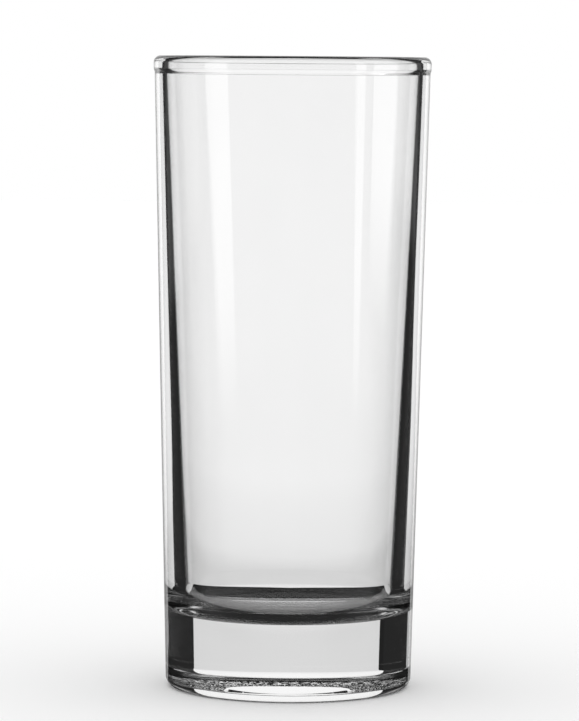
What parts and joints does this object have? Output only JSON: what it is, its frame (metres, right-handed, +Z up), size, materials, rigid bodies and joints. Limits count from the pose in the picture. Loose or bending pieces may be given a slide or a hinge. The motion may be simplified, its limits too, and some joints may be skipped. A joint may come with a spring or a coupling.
{
  "type": "highball glass",
  "caption": "Tall, slightly tapered clear glass tumbler with a beaded rim, a wall that thickens downwards and a heavy solid base, for a long drink.",
  "frame": {"origin": "on the axis, in the plane the foot stands on", "axes": "+Z up along the axis towards the rim; the glass is round, so X and Y are free"},
  "size_m": [0.064, 0.064, 0.146],
  "materials": {
    "clear_glass": "fire-polished, clear"
  },
  "bodies": {
    "root": {"tumbler": "clear_glass"}
  },
  "joints": []
}
